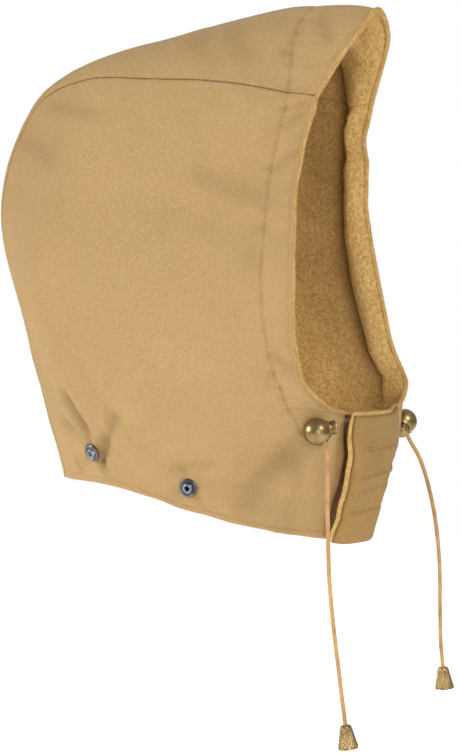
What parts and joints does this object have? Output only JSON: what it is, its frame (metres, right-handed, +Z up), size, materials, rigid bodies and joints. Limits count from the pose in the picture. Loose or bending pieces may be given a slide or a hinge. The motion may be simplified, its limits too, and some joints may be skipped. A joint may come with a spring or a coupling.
{
  "type": "detachable hood",
  "caption": "Deep canvas hood lined with fleece, with a chin flap, snap studs along the hem, and a drawcord with ball cord locks and metal cord ends.",
  "frame": {"origin": "on the lining's outer face line at the crown, where a head carries the hood", "axes": "+Z up, face towards -Y, the wearer right side at -X"},
  "size_m": [0.177, 0.3014, 0.4726],
  "materials": {
    "canvas": "woven cotton canvas, matte",
    "fleece": "brushed fleece",
    "tape": "hook-and-loop tape",
    "gunmetal": "dark polished metal",
    "brass": "antique brass plating, satin",
    "cord": "smooth round cord"
  },
  "bodies": {
    "hood": {"shell_side_right": "canvas", "lining_side_right": "fleece", "shell_side_left": "canvas", "lining_side_left": "fleece", "shell_centre": "canvas", "lining_centre": "fleece", "face_edge_roll": "fleece", "chin_flap": "canvas", "chin_flap_lining": "fleece", "closure_tape_upper": "tape", "closure_tape_lower": "tape", "snap_stud_right_back": "gunmetal", "snap_stud_right_front": "gunmetal", "snap_stud_left_back": "gunmetal", "snap_stud_left_front": "gunmetal", "cord_lock_ball_right": "brass", "drawcord_stub_right": "cord", "cord_lock_ball_left": "brass", "drawcord_stub_left": "cord", "drawcord_right": "cord", "cord_end_right": "brass", "drawcord_left": "cord", "cord_end_left": "brass"},
    "plunger_right": {"cord_lock_plunger_right": "brass"},
    "plunger_left": {"cord_lock_plunger_left": "brass"}
  },
  "joints": [
    {"name": "plunger_right_press", "type": "slide", "parent": "hood", "child": "plunger_right", "axis": [-0.6385, 0.739, -0.2149], "range_m": [0, 0.003], "stiffness_N_per_m": 400, "springref_m": -0.003},
    {"name": "plunger_left_press", "type": "slide", "parent": "hood", "child": "plunger_left", "axis": [0.812, 0.1648, 0.5599], "range_m": [0, 0.003], "stiffness_N_per_m": 400, "springref_m": -0.003}
  ]
}
